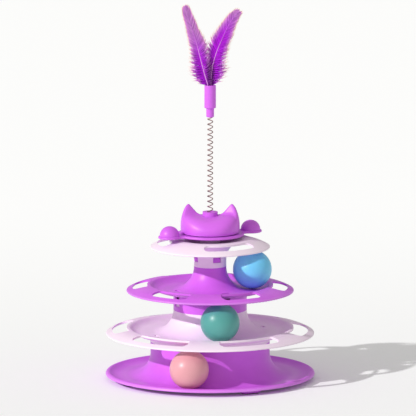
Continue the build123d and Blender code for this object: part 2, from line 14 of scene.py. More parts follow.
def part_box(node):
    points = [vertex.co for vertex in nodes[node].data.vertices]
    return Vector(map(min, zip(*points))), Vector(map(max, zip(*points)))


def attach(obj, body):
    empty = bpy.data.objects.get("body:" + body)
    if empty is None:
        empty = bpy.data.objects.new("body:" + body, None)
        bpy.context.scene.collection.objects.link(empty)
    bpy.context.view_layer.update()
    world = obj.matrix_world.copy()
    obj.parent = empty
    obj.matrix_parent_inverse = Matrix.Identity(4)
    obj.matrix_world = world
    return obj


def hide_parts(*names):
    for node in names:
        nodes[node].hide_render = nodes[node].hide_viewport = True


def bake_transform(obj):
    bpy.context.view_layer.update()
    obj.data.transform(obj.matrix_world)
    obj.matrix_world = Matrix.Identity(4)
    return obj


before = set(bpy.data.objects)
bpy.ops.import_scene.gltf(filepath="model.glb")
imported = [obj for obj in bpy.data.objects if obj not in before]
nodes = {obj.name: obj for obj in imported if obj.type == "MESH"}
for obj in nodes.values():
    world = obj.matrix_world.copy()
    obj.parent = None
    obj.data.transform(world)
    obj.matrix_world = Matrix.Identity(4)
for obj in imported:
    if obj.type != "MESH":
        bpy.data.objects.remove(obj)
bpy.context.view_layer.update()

MM = 0.001

# Camera: a long lens, level with the photograph's view
VIEW_RISE = math.radians(9.4)
VIEW_DISTANCE = 8.0
VIEW_WIDTH = 0.448
VIEW_MIDDLE = (-0.0023, 0.0, 0.1865)
VIEW_END = 200.0
SENSOR = 36.0

# Light: one soft key from the upper left front, and an even sky
KEY_FROM = (-0.701, -0.509, 0.500)
KEY_SPREAD = math.radians(1.5)
KEY_STRENGTH = 2.45
KEY_COLOUR = (1.0, 0.985, 0.97)
SKY_STRENGTH = 0.5
SKY_COLOUR = (1.0, 0.98, 0.95, 1.0)
FLOOR_REACH = 60.0
FLOOR_GLOW = (0.03, 0.12)      # painted brightening of the floor as seen, weak near the toy and stronger far behind it
GLOW_SPAN = (-0.3, 1.2)

# Tiers: face of each column, and the reach from there to the ball's path and to the tier's edge
COLUMN_R = {"base_track": 64.4 * MM, "lower_track": 39.6 * MM, "upper_track": 17.5 * MM}
EDGE_REACH = {"base_track": 48.6 * MM, "lower_track": 72.8 * MM, "upper_track": 72.8 * MM}
TOP_EDGE_R = 64.5 * MM
RUN_REACH = 28.0 * MM
RUN_WIDTH = 10.0 * MM
EDGE_WIDTH = 2.2 * MM

# Plastic: what grain, rolling balls, worn edges and scuffs do to it
TIER_GLOSS = 0.42
BALL_GLOSS = 0.36
GRAIN_ROUGHNESS = 0.06
RUN_POLISH = -0.10
EDGE_WEAR = 0.18
EDGE_PALENESS = 0.5
SCUFF_ROUGHNESS = 0.25
SCUFF_DEPTH = 0.6

# Spring: the wire and its turns between the socket and the cap
WIRE_R = 0.55 * MM
COIL_R = 2.75 * MM
COIL_LOW = 178.85 * MM
COIL_HIGH = 287.95 * MM
COIL_TURNS = 19.5
COIL_START = math.radians(-60)
COIL_HIDDEN = 0.5             # turns at each end inside the socket or the cap
COIL_POINTS = 36              # on each turn
WIRE_SIDES = 14
SPRING_MIDDLE = 235.0 * MM

# Head, in millimetres from its foot: a drum under a saddle, with an ear at each side
SOCKET_TOP_H = 22.4
HEAD_FOOT_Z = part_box("spring_socket")[1].z / MM - SOCKET_TOP_H
HEAD_R = 32.0
HEAD_BULGE_H = 5.5            # the drum's widest place
FOOT_DRAW = 0.033             # draw of the side, below the widest place and above it
SIDE_DRAW = 0.0069
EAR_DRAW = 6.0e-6             # further draw towards the ears
SADDLE_H = 18.1
SADDLE_HOLLOW_R = 100.0       # from ear to ear
SADDLE_ARCH_R = 75.0          # from front to back
SHOULDER_REACH = 12.0         # how widely two forms run into each other
EAR_TIP = (23.8, 0.0, 34.6)
EAR_ROOT = (9.2, 0.0, 18.1)
EAR_RIDGE = (26.5, 6.8, 20.2)
EAR_REACH = 3.4
EAR_FLARE = 3.2
SIDE_REACH = 1.5
FOOT_ROUND = [(0.25, 0.45), (0.9, 0.0)]   # in from the side, and up
FOOT_ROUND_H = 1.3
SOCKET_R = 8.3
SOCKET_H = 17.5
SPIGOT_R = 6.1
SPIGOT_H = 12.1
SEAT_FLOOR = 2.0
CAVITY = [(29.0, 0.0), (29.0, 4.5), (28.3, 6.9), (26.0, 9.4),
          (22.3, 11.6), (17.4, 13.0), (10.2, 13.5), (8.1, 13.5)]   # radius and height
STEM_R = 5.0
STEM_LIP_R = 5.6
STEM_LIP_H = 3.0
STEM_FOOT_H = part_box("cat_head")[0].z / MM - HEAD_FOOT_Z
STEM_SPLIT = (6.6, 1.0, 9.0)   # half its length and width, and its height
HEAD_EYE_H = -20.0            # where the rays start that lay the skin
CROWN_REACH = 40.0
SKIN_REACH = 80.0
HALVINGS = 40
HEAD_ROUND = 240
HEAD_ROWS = 110
CREASE = math.radians(40)

# Feathers, in millimetres: across and up from the ferrule's top, and the vane's width on the left and the right
FERRULE_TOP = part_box("feather_ferrule")[1].z
QUILL_DEPTH = 11.9 * MM
QUILL_R = 0.65 * MM
SHAFT_TIP_R = 0.18 * MM
FEATHER_DEPTH = 1.2 * MM
LEFT_PLUME = [
    (-2.6, 0.0, 8.5, 5.5),
    (-5.4, 10.0, 15.5, 8.5),
    (-8.1, 20.0, 13.8, 11.2),
    (-10.6, 30.0, 11.2, 12.0),
    (-13.1, 40.0, 9.5, 11.4),
    (-15.9, 50.0, 8.6, 8.4),
    (-18.9, 60.0, 7.2, 7.4),
    (-22.6, 71.0, 5.8, 6.2),
    (-24.3, 76.5, 4.8, 5.2),
    (-25.8, 81.5, 3.0, 3.4),
    (-26.9, 85.2, 0.8, 0.8),
]
RIGHT_PLUME = [
    (0.8, 0.0, 5.5, 9.0),
    (1.2, 10.0, 8.5, 17.8),
    (2.1, 18.0, 10.6, 17.0),
    (4.8, 29.0, 12.4, 14.0),
    (8.2, 39.0, 12.8, 11.8),
    (11.8, 47.5, 11.0, 11.0),
    (16.7, 58.0, 8.8, 8.8),
    (22.0, 68.0, 6.4, 7.0),
    (26.2, 74.3, 4.8, 5.2),
    (29.2, 77.6, 2.8, 3.0),
    (31.0, 79.2, 0.8, 0.8),
]
SHAFT_SIDES = 10

# Dye: how far it has run along each shaft; and painted shade low between the shafts, where the two feathers lie
# over each other
DYE_END = {"left": 0.48, "right": 0.75}
DYE_FADE = (-0.08, 0.34)
DYE_SLANT = 0.22              # the dye stops sooner at the ends of the barbs
BARB_STREAKS = 44.0           # darker streaks along the length of a shaft
INSIDE_WIDTH = (3.0 * MM, 11.0 * MM)
INSIDE_TOP = (FERRULE_TOP + 30 * MM, FERRULE_TOP + 60 * MM)
CLEFT_SHADE_WIDTH = (1.5 * MM, 7.0 * MM)
CLEFT_SHADE_TOP = (FERRULE_TOP + 12 * MM, FERRULE_TOP + 40 * MM)
CLEFT_SHADE_DEPTH = 0.85

# Barbs: share of the full length, freedom, and how far up the shaft they grow
BARB_LAYERS = [(1.0, 1.0, 1.1), (0.82, 0.55, 0.8), (0.6, 0.3, 0.8)]
BARB_SIDES = [(-1.0, "left_width", 10), (1.0, "right_width", 20)]   # way, width and seed of each side
BARB_COUNT = 280              # on each side of a shaft, in a layer
BARB_WIDTH = 0.7 * MM
BARB_THICKNESS = 0.25         # of its width
BARB_STEPS = 9
BARB_BEND = (0.55, -0.06, 0.0)
BARB_END = (1.0, 0.10, 0.0)
BARE_QUILL = 0.125
STRAY_ANGLE = 0.12
UNEVEN_ANGLE = 0.03
LIFT = 0.5
LENGTHS = (0.95, 1.03)
LOOSE_LENGTHS = (-0.24, 0.14)
WISP_SCALE = 160.0


# Node helpers

def add(tree, kind, inputs=None, **settings):
    """Adds a node. An input that is a socket is linked, and any other value is set."""
    node = tree.nodes.new(kind)
    for key, value in settings.items():
        setattr(node, key, value)
    for key, value in (inputs or {}).items():
        if isinstance(key, str):
            socket = next(s for s in node.inputs if s.enabled and s.name == key)
        else:
            socket = node.inputs[key]
        if isinstance(value, bpy.types.NodeSocket):
            tree.links.new(value, socket)
        else:
            socket.default_value = value
    return node


def out(node, name=None):
    """First live output of a node, or the live one with that name."""
    return next(s for s in node.outputs if s.enabled and name in (None, s.name))


def maths(tree, operation, *values):
    """Output of a Math node."""
    return out(add(tree, "ShaderNodeMath", dict(enumerate(values)), operation=operation))


def vectors(tree, operation, first, second=None, scale=None):
    """Output of a Vector Math node."""
    values = {index: value for index, value in ((0, first), (1, second), (3, scale)) if value is not None}
    return out(add(tree, "ShaderNodeVectorMath", values, operation=operation))


def spread(tree, value, low, high, to_low=0.0, to_high=1.0):
    """Value carried smoothly from one span to another, and held at its ends."""
    inputs = {"Value": value, "From Min": low, "From Max": high, "To Min": to_low, "To Max": to_high}
    return out(add(tree, "ShaderNodeMapRange", inputs, interpolation_type="SMOOTHSTEP"))


def mixed(tree, share, first, second):
    """Colour between two colours."""
    return add(tree, "ShaderNodeMix", {0: share, 6: first, 7: second}, data_type="RGBA").outputs[2]


def new_tree(name, kind, inputs, outputs):
    """Node group with named sockets, given as {label: (type, value)} and {label: type}."""
    tree = bpy.data.node_groups.new(name, kind)
    for label, (socket_type, value) in inputs.items():
        socket = tree.interface.new_socket(label, in_out="INPUT", socket_type="NodeSocket" + socket_type)
        if value is not None:
            socket.default_value = value
    for label, socket_type in outputs.items():
        tree.interface.new_socket(label, in_out="OUTPUT", socket_type="NodeSocket" + socket_type)
    return tree, tree.nodes.new("NodeGroupInput").outputs, tree.nodes.new("NodeGroupOutput").inputs


def rgba(red, green, blue):
    """Linear colour of a screen colour from 0 to 255."""
    def linear(level):
        level /= 255
        return level / 12.92 if level <= 0.04045 else ((level + 0.055) / 1.055) ** 2.4
    return linear(red), linear(green), linear(blue), 1.0


# Object helpers

def placed(name, data):
    """Object of a mesh, a lamp or a camera, in the scene."""
    holder = bpy.data.objects.new(name, data)
    bpy.context.scene.collection.objects.link(holder)
    return holder


def discard(holder):
    """Takes away a helper and its mesh."""
    mesh = holder.data
    bpy.data.objects.remove(holder)
    bpy.data.meshes.remove(mesh)


def applied(holder, name):
    """Plain mesh of a helper with its modifiers applied. The helper goes."""
    graph = bpy.context.evaluated_depsgraph_get()
    mesh = bpy.data.meshes.new_from_object(
        holder.evaluated_get(graph), preserve_all_data_layers=True, depsgraph=graph)
    holder.modifiers.clear()
    discard(holder)
    mesh.name = name
    return mesh


# Colours: the plastics and the wire in their thin and their deep places

PURPLE = rgba(216, 106, 236), rgba(208, 98, 230)
LILAC = rgba(250, 234, 249), rgba(247, 228, 245)
PINK = rgba(229, 165, 174), rgba(222, 156, 165)
TEAL = rgba(89, 166, 160), rgba(81, 158, 152)
BLUE = rgba(122, 214, 250), rgba(114, 206, 244)
WIRE = rgba(188, 158, 156), rgba(142, 111, 111)
PAD_GREY = rgba(70, 58, 72)
DUST = rgba(150, 140, 150)
FLOOR_WHITE = rgba(252, 254, 255)
VIOLET_DYE = rgba(190, 4, 230)
FADED_DYE = rgba(202, 136, 204)
GRAIN_VIOLET = rgba(150, 16, 196)
STREAK_VIOLET = rgba(138, 24, 168)
# painted shade low between the two feathers' shafts
CLEFT_SHADE_VIOLET = rgba(92, 10, 116)
THIN_BARB = rgba(240, 152, 238)
UNDYED_TIP = rgba(255, 226, 208)
SHAFT_FOOT = rgba(226, 152, 232)
SHAFT_UPPER = rgba(198, 100, 216)
SHAFT_PATCH = rgba(150, 60, 170)


# Shared surface effects

def moulded_skin_group():
    """Fine spark-eroded grain of a mould, with the slow unevenness of thick and thin walls."""
    tree, given, made = new_tree(
        "moulded_skin", "ShaderNodeTree",
        {"Grain Size": ("Float", 0.5 * MM), "Patch Size": ("Float", 40 * MM)},
        {"Height": "Float", "Patch": "Float", "Grain": "Float"})
    place = out(add(tree, "ShaderNodeTexCoord"), "Object")
    fine = add(tree, "ShaderNodeTexNoise", {"Vector": place, "Detail": 2.0, "Roughness": 0.6,
                                            "Scale": maths(tree, "DIVIDE", 1.0, given["Grain Size"])})
    slow = add(tree, "ShaderNodeTexNoise", {"Vector": place, "Detail": 3.0, "Roughness": 0.5,
                                            "Scale": maths(tree, "DIVIDE", 1.0, given["Patch Size"])})
    tree.links.new(out(fine), made["Height"])
    tree.links.new(spread(tree, out(slow), 0.3, 0.7), made["Patch"])
    tree.links.new(spread(tree, out(fine), 0.35, 0.65), made["Grain"])
    return tree


def ring_group():
    """Soft ring about the tower's axis, for the path of a ball or the edge of a brim."""
    tree, given, made = new_tree(
        "ring_about_axis", "ShaderNodeTree",
        {"Radius": ("Float", 0.05), "Half Width": ("Float", 0.005)}, {"Mask": "Float"})
    place = out(add(tree, "ShaderNodeTexCoord"), "Object")
    flat = vectors(tree, "MULTIPLY", place, (1, 1, 0))
    length = add(tree, "ShaderNodeVectorMath", {0: flat}, operation="LENGTH").outputs["Value"]
    away = maths(tree, "ABSOLUTE", maths(tree, "SUBTRACT", length, given["Radius"]))
    share = maths(tree, "DIVIDE", away, given["Half Width"])
    tree.links.new(spread(tree, share, 0.0, 1.0, 1.0, 0.0), made["Mask"])
    return tree


def hairline_group():
    """Sparse hairline scuffs, longer one way, in two crossing directions."""
    tree, given, made = new_tree(
        "hairline_scuffs", "ShaderNodeTree",
        {"Length": ("Float", 12 * MM), "Amount": ("Float", 0.35)}, {"Mask": "Float"})
    place = out(add(tree, "ShaderNodeTexCoord"), "Object")
    scale = maths(tree, "DIVIDE", 1.0, given["Length"])
    lines = []
    for turn, stretch in (((0.3, 0.2, 0.5), (1, 14, 14)), ((0.1, 0.7, 2.0), (14, 1, 14))):
        turned = add(tree, "ShaderNodeMapping", {"Vector": place, "Rotation": turn, "Scale": stretch})
        noise = add(tree, "ShaderNodeTexNoise", {"Vector": out(turned), "Scale": scale, "Detail": 1.0})
        off = maths(tree, "ABSOLUTE", maths(tree, "SUBTRACT", out(noise), 0.5))
        lines.append(spread(tree, off, 0.0, 0.012, 1.0, 0.0))
    worn = add(tree, "ShaderNodeTexNoise", {"Vector": place, "Scale": maths(tree, "MULTIPLY", scale, 0.4)})
    where = spread(tree, out(worn), 0.5, 0.68)
    mask = maths(tree, "MULTIPLY", maths(tree, "MAXIMUM", *lines), where)
    tree.links.new(maths(tree, "MULTIPLY", mask, given["Amount"]), made["Mask"])
    return tree


SKIN = moulded_skin_group()
RING = ring_group()
HAIRLINES = hairline_group()


def use(tree, group, **values):
    """Places a shared effect in a material with its own values."""
    node = add(tree, "ShaderNodeGroup", node_tree=group)
    for label, value in values.items():
        node.inputs[label.replace("_", " ")].default_value = value
    return node.outputs


def new_material(name, **sockets):
    """Material with one shader, whose plain values are set on its own sockets."""
    material = bpy.data.materials.new(name)
    material.use_nodes = True
    shader = material.node_tree.nodes["Principled BSDF"]
    for label, value in sockets.items():
        shader.inputs[label.replace("_", " ")].default_value = value
    return material, material.node_tree, shader


# Materials

def plastic(name, colour, deep, gloss=TIER_GLOSS, runs=(), edges=()):
    """Satin moulded plastic: mould grain, uneven depth of colour, paths polished by balls, worn edges."""
    material, tree, shader = new_material(name, Specular_IOR_Level=0.45)
    skin = use(tree, SKIN, Grain_Size=0.45 * MM, Patch_Size=35 * MM)
    scuffs = use(tree, HAIRLINES, Length=14 * MM, Amount=0.3)["Mask"]
    shade = mixed(tree, skin["Patch"], deep, colour)
    rough = maths(tree, "MULTIPLY_ADD", skin["Grain"], GRAIN_ROUGHNESS, gloss - GRAIN_ROUGHNESS / 2)
    for radius, width in runs:
        mask = use(tree, RING, Radius=radius, Half_Width=width)["Mask"]
        rough = maths(tree, "MULTIPLY_ADD", mask, RUN_POLISH, rough)
    for radius, width in edges:
        mask = use(tree, RING, Radius=radius, Half_Width=width)["Mask"]
        worn = maths(tree, "MULTIPLY", mask, EDGE_WEAR)
        pale = tuple(level + EDGE_PALENESS * (1.0 - level) for level in colour)
        shade = mixed(tree, worn, shade, pale)
    rough = maths(tree, "ADD", rough, maths(tree, "MULTIPLY", scuffs, SCUFF_ROUGHNESS))
    tree.links.new(shade, shader.inputs["Base Color"])
    tree.links.new(rough, shader.inputs["Roughness"])
    height = maths(tree, "SUBTRACT", skin["Height"], maths(tree, "MULTIPLY", scuffs, SCUFF_DEPTH))
    bump = add(tree, "ShaderNodeBump", {"Height": height, "Strength": 0.10, "Distance": 0.05 * MM})
    tree.links.new(out(bump), shader.inputs["Normal"])
    return material


def rubber(name, colour):
    """Soft matt rubber with a pebbled skin and pale dust."""
    material, tree, shader = new_material(name, Specular_IOR_Level=0.3)
    skin = use(tree, SKIN, Grain_Size=0.8 * MM, Patch_Size=8 * MM)
    dusty = maths(tree, "MULTIPLY", skin["Patch"], 0.15)
    tree.links.new(mixed(tree, dusty, colour, DUST), shader.inputs["Base Color"])
    tree.links.new(maths(tree, "MULTIPLY_ADD", skin["Grain"], 0.15, 0.75), shader.inputs["Roughness"])
    bump = add(tree, "ShaderNodeBump", {"Height": skin["Height"], "Strength": 0.4, "Distance": 0.1 * MM})
    tree.links.new(out(bump), shader.inputs["Normal"])
    return material


def drawn_wire(name, colour, dark):
    """Drawn spring wire with a warm lacquer, a fine grain and a little tarnish."""
    material, tree, shader = new_material(name, Metallic=0.75, Coat_Weight=0.2, Coat_Roughness=0.3)
    skin = use(tree, SKIN, Grain_Size=0.25 * MM, Patch_Size=6 * MM)
    tree.links.new(mixed(tree, skin["Patch"], dark, colour), shader.inputs["Base Color"])
    tree.links.new(maths(tree, "MULTIPLY_ADD", skin["Grain"], 0.15, 0.32), shader.inputs["Roughness"])
    bump = add(tree, "ShaderNodeBump", {"Height": skin["Height"], "Strength": 0.15, "Distance": 0.03 * MM})
    tree.links.new(out(bump), shader.inputs["Normal"])
    return material


def dyed_barbs(name, dye_end):
    """Dyed feather: violet as far along the shaft as the dye has run, orchid above, pale undyed tips, and
    painted shade low between the two shafts.
    """
    material, tree, shader = new_material(name, Roughness=0.62, Specular_IOR_Level=0.3, Sheen_Weight=0.08,
                                          Sheen_Roughness=0.4)
    shaft = add(tree, "ShaderNodeAttribute", attribute_name="along_shaft").outputs["Fac"]
    barb = add(tree, "ShaderNodeAttribute", attribute_name="along_barb").outputs["Fac"]
    skin = use(tree, SKIN, Grain_Size=1.2 * MM, Patch_Size=5 * MM)
    run = maths(tree, "MULTIPLY_ADD", barb, DYE_SLANT, shaft)
    faded = spread(tree, run, *(dye_end + fade for fade in DYE_FADE))
    vane = mixed(tree, faded, VIOLET_DYE, FADED_DYE)
    vane = mixed(tree, maths(tree, "MULTIPLY", skin["Grain"], 0.15), vane, GRAIN_VIOLET)
    thinner = maths(tree, "MULTIPLY", spread(tree, barb, 0.38, 0.8), 0.85)
    vane = mixed(tree, thinner, vane, THIN_BARB)
    streaks = add(tree, "ShaderNodeTexNoise", {
        "W": maths(tree, "MULTIPLY", shaft, BARB_STREAKS), "Detail": 1.0, "Scale": 1.0}, noise_dimensions="1D")
    vane = mixed(tree, spread(tree, out(streaks), 0.42, 0.62, 0.0, 0.34), vane, STREAK_VIOLET)
    place = add(tree, "ShaderNodeSeparateXYZ", {0: out(add(tree, "ShaderNodeTexCoord"), "Object")})
    away = maths(tree, "ABSOLUTE", out(place, "X"))

    def between_shafts(width, top, most):
        near = spread(tree, away, *width, 1.0, 0.0)
        return maths(tree, "MULTIPLY", near, spread(tree, out(place, "Z"), *top, most, 0.0))

    outer = maths(tree, "SUBTRACT", 1.0, between_shafts(INSIDE_WIDTH, INSIDE_TOP, 1.0))
    pale = maths(tree, "MULTIPLY", spread(tree, barb, 0.72, 0.96, 0.0, 0.95), outer)
    vane = mixed(tree, pale, vane, UNDYED_TIP)
    # painted shade: darker violet low between the two shafts, where the feathers lie over each other
    cleft_shade = between_shafts(CLEFT_SHADE_WIDTH, CLEFT_SHADE_TOP, CLEFT_SHADE_DEPTH)
    tree.links.new(mixed(tree, cleft_shade, vane, CLEFT_SHADE_VIOLET), shader.inputs["Base Color"])
    bump = add(tree, "ShaderNodeBump", {"Height": skin["Height"], "Strength": 0.2, "Distance": 0.05 * MM})
    tree.links.new(out(bump), shader.inputs["Normal"])
    return material


def dyed_shaft(name):
    """Shaft of a dyed feather: horny and a little glossy, paler towards the quill."""
    material, tree, shader = new_material(name, Specular_IOR_Level=0.5)
    shaft = add(tree, "ShaderNodeAttribute", attribute_name="along_shaft").outputs["Fac"]
    skin = use(tree, SKIN, Grain_Size=0.6 * MM, Patch_Size=6 * MM)
    colour = mixed(tree, spread(tree, shaft, 0.45, 0.75), SHAFT_FOOT, SHAFT_UPPER)
    patchy = maths(tree, "MULTIPLY", skin["Patch"], 0.15)
    tree.links.new(mixed(tree, patchy, colour, SHAFT_PATCH), shader.inputs["Base Color"])
    tree.links.new(maths(tree, "MULTIPLY_ADD", skin["Grain"], 0.1, 0.35), shader.inputs["Roughness"])
    return material


def dress(node, material):
    """Gives a node of the frame its finish."""
    nodes[node].data.materials.clear()
    nodes[node].data.materials.append(material)


def tier_finish(name, node, colours):
    """Plastic of one track tier, polished where its ball runs and worn at its edge."""
    column = COLUMN_R[node]
    dress(node, plastic(name, *colours, runs=[(column + RUN_REACH, RUN_WIDTH)],
                        edges=[(column + EDGE_REACH[node], EDGE_WIDTH)]))


tier_finish("purple_base", "base_track", PURPLE)
tier_finish("lilac_lower", "lower_track", LILAC)
tier_finish("purple_upper", "upper_track", PURPLE)
dress("top_tier", plastic("lilac_top", *LILAC, edges=[(TOP_EDGE_R, EDGE_WIDTH)]))
purple = plastic("purple_small", *PURPLE)
for node in ("spinner", "spring_socket", "spring_cap", "feather_ferrule"):
    dress(node, purple)
for colour, colours in (("pink", PINK), ("teal", TEAL), ("blue", BLUE)):
    dress("ball_" + colour, plastic(colour + "_ball", *colours, gloss=BALL_GLOSS))
pad_rubber = rubber("pad_rubber", PAD_GREY)
for number in (1, 2, 3, 4):
    dress("pad_%d" % number, pad_rubber)


# Pieces grown by node trees

def grown(name, tree, values, points=(), edges=(), attributes=None):
    """Plain mesh grown by a geometry tree, at the origin, from a seed whose points may carry named values."""
    seed = bpy.data.meshes.new(name)
    seed.from_pydata(points, edges, [])
    for label, numbers in (attributes or {}).items():
        seed.attributes.new(label, "FLOAT", "POINT").data.foreach_set("value", numbers)
    holder = placed(name + "_seed", seed)
    modifier = holder.modifiers.new("grow", "NODES")
    modifier.node_group = tree
    for item in tree.interface.items_tree:
        if item.item_type == "SOCKET" and item.in_out == "INPUT" and item.name in values:
            modifier[item.identifier] = values[item.name]
    return placed(name, applied(holder, name))


def coil_tree():
    """One stretch of a round wire wound about the Z axis, from one turn count to another."""
    tree, given, made = new_tree("wound_wire", "GeometryNodeTree", {
        "Geometry": ("Geometry", None), "First Turn": ("Float", 0.0), "Last Turn": ("Float", 1.0),
        "Start Angle": ("Float", 0.0), "Start Height": ("Float", 0.0), "Pitch": ("Float", 0.005),
        "Coil Radius": ("Float", COIL_R), "Wire Radius": ("Float", WIRE_R), "Points": ("Int", COIL_POINTS),
        "Material": ("Material", None)}, {"Geometry": "Geometry"})
    line = add(tree, "GeometryNodeMeshLine", {"Count": given["Points"]})
    index = out(add(tree, "GeometryNodeInputIndex"))
    share = maths(tree, "DIVIDE", index, maths(tree, "SUBTRACT", given["Points"], 1.0))
    span = maths(tree, "SUBTRACT", given["Last Turn"], given["First Turn"])
    turn = maths(tree, "MULTIPLY_ADD", share, span, given["First Turn"])
    angle = maths(tree, "MULTIPLY_ADD", turn, math.tau, given["Start Angle"])
    place = add(tree, "ShaderNodeCombineXYZ", {
        "X": maths(tree, "MULTIPLY", maths(tree, "COSINE", angle), given["Coil Radius"]),
        "Y": maths(tree, "MULTIPLY", maths(tree, "SINE", angle), given["Coil Radius"]),
        "Z": maths(tree, "MULTIPLY_ADD", turn, given["Pitch"], given["Start Height"])})
    moved = add(tree, "GeometryNodeSetPosition", {"Geometry": out(line), "Position": out(place)})
    curve = add(tree, "GeometryNodeMeshToCurve", {"Mesh": out(moved)})
    section = add(tree, "GeometryNodeCurvePrimitiveCircle", {
        "Resolution": WIRE_SIDES, "Radius": given["Wire Radius"]})
    wire = add(tree, "GeometryNodeCurveToMesh", {"Curve": out(curve), "Profile Curve": out(section),
                                                 "Fill Caps": True})
    real = add(tree, "GeometryNodeRealizeInstances", {"Geometry": out(wire)})
    finish = add(tree, "GeometryNodeSetMaterial", {"Geometry": out(real), "Material": given["Material"]})
    tree.links.new(out(finish), made["Geometry"])
    return tree


def make_spring():
    """The spring in two stretches that meet half way."""
    tree = coil_tree()
    wire = drawn_wire("spring_wire", *WIRE)
    pitch = (COIL_HIGH - COIL_LOW) / COIL_TURNS
    middle = (SPRING_MIDDLE - COIL_LOW) / pitch
    socket_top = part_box("spring_socket")[1].z
    cap_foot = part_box("spring_cap")[0].z
    stretches = [
        ("spring_lower", -COIL_HIDDEN, middle, "head", "spring", socket_top, SPRING_MIDDLE),
        ("spring_upper", middle, COIL_TURNS + COIL_HIDDEN, "spring", "wand", SPRING_MIDDLE, cap_foot),
    ]
    for name, first, last, below, above, start_z, end_z in stretches:
        piece = grown(name, tree, {
            "First Turn": first, "Last Turn": last, "Start Angle": COIL_START, "Start Height": COIL_LOW,
            "Pitch": pitch, "Coil Radius": COIL_R, "Wire Radius": WIRE_R,
            "Points": round((last - first) * COIL_POINTS), "Material": wire})
        piece.data.shade_smooth()
        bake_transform(piece)
        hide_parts("spring")


def barb_row(tree, given, shaft, side, width_name, seed, share, freedom, top):
    """Row of barbs on one side of a shaft, as curves that carry their place along shaft and barb."""
    along = out(add(tree, "GeometryNodeSplineParameter"), "Factor")
    width = out(add(tree, "GeometryNodeInputNamedAttribute", {"Name": width_name}, data_type="FLOAT"))
    heading = out(add(tree, "GeometryNodeInputTangent"))

    def chance(low, high, number):
        values = {2: low, 3: high, 8: seed + number}
        return out(add(tree, "FunctionNodeRandomValue", values, data_type="FLOAT"))

    loose = maths(tree, "MULTIPLY", spread(tree, along, 0.3, given["Down Share"], 1.0, 0.1), freedom)
    lean = spread(tree, along, 0.1, 0.9, given["Foot Angle"], given["Tip Angle"])
    tuft = maths(tree, "FRACT", maths(tree, "MULTIPLY_ADD", along, given["Tufts"], seed))
    gather = maths(tree, "MULTIPLY", maths(tree, "SUBTRACT", tuft, 0.5), given["Tuft Pull"])
    stray = maths(tree, "MULTIPLY", loose, maths(tree, "ADD", gather, chance(-STRAY_ANGLE, STRAY_ANGLE, 0)))
    angle = maths(tree, "ADD", maths(tree, "ADD", lean, stray), chance(-UNEVEN_ANGLE, UNEVEN_ANGLE, 1))
    angle = maths(tree, "MULTIPLY", angle, spread(tree, along, 0.93, 1.0, 1.0, 0.55))
    turned = add(tree, "ShaderNodeVectorRotate", {"Vector": heading, "Axis": (0, 1, 0),
                                                  "Angle": maths(tree, "MULTIPLY", angle, side)})
    lift = maths(tree, "MULTIPLY_ADD", chance(-LIFT, LIFT, 2), loose, given["Cup"])
    aim = vectors(tree, "ADD", out(turned), out(add(tree, "ShaderNodeCombineXYZ", {"Y": lift})))
    rotation = add(tree, "FunctionNodeAxesToRotation", {"Primary Axis": aim, "Secondary Axis": heading},
                   primary_axis="X", secondary_axis="Y")
    length = maths(tree, "DIVIDE", width, maths(tree, "SINE", lean))
    length = maths(tree, "MULTIPLY", length, chance(*(part * share for part in LENGTHS), 3))
    uneven = maths(tree, "MULTIPLY_ADD", loose, chance(*LOOSE_LENGTHS, 4), 1.0)
    length = maths(tree, "MULTIPLY", length, uneven)
    barb = add(tree, "GeometryNodeCurveQuadraticBezier", {
        "Resolution": BARB_STEPS, "Start": (0, 0, 0), "Middle": BARB_BEND, "End": BARB_END})
    barb = add(tree, "GeometryNodeStoreNamedAttribute", {
        "Geometry": out(barb), "Name": "along_barb",
        "Value": maths(tree, "MULTIPLY", out(add(tree, "GeometryNodeSplineParameter"), "Factor"), share)},
        data_type="FLOAT", domain="POINT")
    grows = maths(tree, "MULTIPLY", maths(tree, "GREATER_THAN", along, given["Bare Quill"]),
                  maths(tree, "LESS_THAN", along, top))
    row = add(tree, "GeometryNodeInstanceOnPoints", {
        "Points": shaft, "Instance": out(barb), "Rotation": out(rotation), "Scale": length,
        "Selection": grows})
    return out(add(tree, "GeometryNodeRealizeInstances", {"Geometry": out(row)}))


